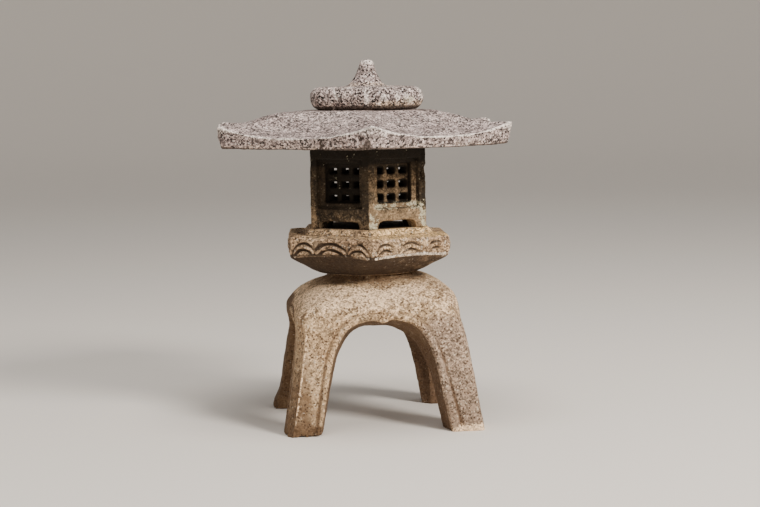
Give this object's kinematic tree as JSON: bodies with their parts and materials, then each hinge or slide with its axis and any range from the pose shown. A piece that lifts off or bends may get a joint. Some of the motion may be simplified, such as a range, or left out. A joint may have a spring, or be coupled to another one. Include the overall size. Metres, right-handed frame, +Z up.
{
  "type": "stone lantern",
  "caption": "Snow-viewing garden lantern: arched square legs, hexagonal platform, hexagonal chamber with lattice windows, broad hexagonal roof and a spired finial, stacked loose.",
  "frame": {"origin": "on the ground, below the middle of the roof, which is the middle of the whole lantern's footprint box", "axes": "+Z up the stack; -Y towards a corner of the hexagons, apart from the small turns of the loose stones; +X to the right when looking along +Y"},
  "size_m": [0.4596, 0.5076, 0.56],
  "materials": {
    "legs_stone": "rough cast stone, warm tan with fine dark pits",
    "platform_stone": "rough cast stone, tan with dark-stained carving",
    "light_chamber_stone": "rough cast stone, weathered dark brown with pale lichen",
    "roof_stone": "rough cast stone, speckled mauve-grey with pale worn edges",
    "finial_stone": "rough cast stone, speckled mauve-grey with tan patches"
  },
  "bodies": {
    "legs": {"legs": "legs_stone"},
    "platform": {"platform": "platform_stone"},
    "light_chamber": {"light_chamber": "light_chamber_stone"},
    "roof": {"roof": "roof_stone"},
    "finial": {"finial": "finial_stone"}
  },
  "joints": [
    {"name": "platform_lift", "type": "slide", "parent": "legs", "child": "platform", "axis": [0, 0, 1], "range_m": [0, 0.09]},
    {"name": "chamber_lift", "type": "slide", "parent": "platform", "child": "light_chamber", "axis": [0, 0, 1], "range_m": [0, 0.11]},
    {"name": "roof_lift", "type": "slide", "parent": "light_chamber", "child": "roof", "axis": [0, 0, 1], "range_m": [0, 0.14]},
    {"name": "finial_lift", "type": "slide", "parent": "roof", "child": "finial", "axis": [0, 0, 1], "range_m": [0, 0.07]}
  ]
}
